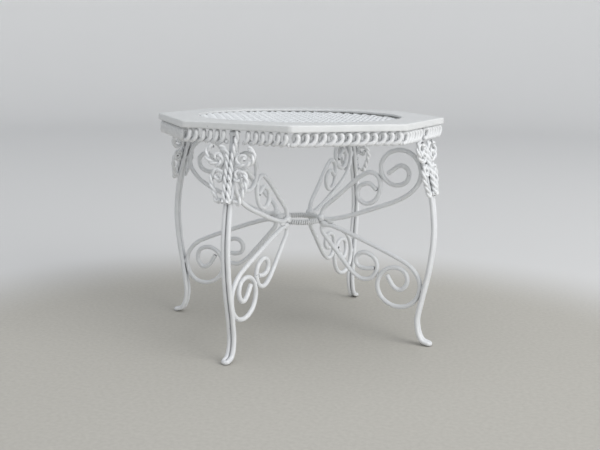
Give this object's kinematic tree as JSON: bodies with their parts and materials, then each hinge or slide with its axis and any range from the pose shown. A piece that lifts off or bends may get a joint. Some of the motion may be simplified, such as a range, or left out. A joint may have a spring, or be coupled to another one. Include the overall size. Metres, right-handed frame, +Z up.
{
  "type": "dolls house dining table",
  "caption": "Miniature octagonal wire table: flat rim round a wire cloth top, coiled wire apron, curved hairpin legs with twisted rope brackets, and curled scrolls joined at a hub ring.",
  "frame": {"origin": "on the floor under the middle of the table top", "axes": "+Z up, legs towards -Y (front), +X (right), +Y (back) and -X (left)"},
  "size_m": [0.085, 0.085, 0.0635],
  "materials": {
    "plate_enamel": "white enamel on sheet metal, semi-matt, softly rounded edges",
    "cloth_enamel": "white enamel on crimped wire cloth, thicker in the crossings",
    "apron_enamel": "white enamel on bent wire, pooled where the loops cross",
    "wire_enamel": "white enamel on round wire, satin, slightly uneven",
    "rope_enamel": "white enamel on twisted wire rope, pooled between the strands",
    "binding_enamel": "white enamel on close-wound fine wire"
  },
  "bodies": {
    "root": {"top_plate": "plate_enamel", "cloth_warp_wires": "cloth_enamel", "cloth_weft_wires": "cloth_enamel", "hub_ring": "wire_enamel", "hub_binding": "binding_enamel", "apron_front_right": "apron_enamel", "apron_back_right": "apron_enamel", "apron_back_left": "apron_enamel", "apron_front_left": "apron_enamel", "apron_front_half_left": "apron_enamel", "apron_front_half_right": "apron_enamel", "apron_right_half_left": "apron_enamel", "apron_right_half_right": "apron_enamel", "apron_back_half_left": "apron_enamel", "apron_back_half_right": "apron_enamel", "apron_left_half_left": "apron_enamel", "apron_left_half_right": "apron_enamel", "leg_front": "wire_enamel", "upper_scroll_front": "wire_enamel", "lower_scroll_front": "wire_enamel", "bracket_front_stem_left": "rope_enamel", "bracket_front_upper_c_left": "rope_enamel", "bracket_front_lower_c_left": "rope_enamel", "bracket_front_stem_right": "rope_enamel", "bracket_front_upper_c_right": "rope_enamel", "bracket_front_lower_c_right": "rope_enamel", "leg_right": "wire_enamel", "upper_scroll_right": "wire_enamel", "lower_scroll_right": "wire_enamel", "bracket_right_stem_left": "rope_enamel", "bracket_right_upper_c_left": "rope_enamel", "bracket_right_lower_c_left": "rope_enamel", "bracket_right_stem_right": "rope_enamel", "bracket_right_upper_c_right": "rope_enamel", "bracket_right_lower_c_right": "rope_enamel", "leg_back": "wire_enamel", "upper_scroll_back": "wire_enamel", "lower_scroll_back": "wire_enamel", "bracket_back_stem_left": "rope_enamel", "bracket_back_upper_c_left": "rope_enamel", "bracket_back_lower_c_left": "rope_enamel", "bracket_back_stem_right": "rope_enamel", "bracket_back_upper_c_right": "rope_enamel", "bracket_back_lower_c_right": "rope_enamel", "leg_left": "wire_enamel", "upper_scroll_left": "wire_enamel", "lower_scroll_left": "wire_enamel", "bracket_left_stem_left": "rope_enamel", "bracket_left_upper_c_left": "rope_enamel", "bracket_left_lower_c_left": "rope_enamel", "bracket_left_stem_right": "rope_enamel", "bracket_left_upper_c_right": "rope_enamel", "bracket_left_lower_c_right": "rope_enamel"}
  },
  "joints": []
}
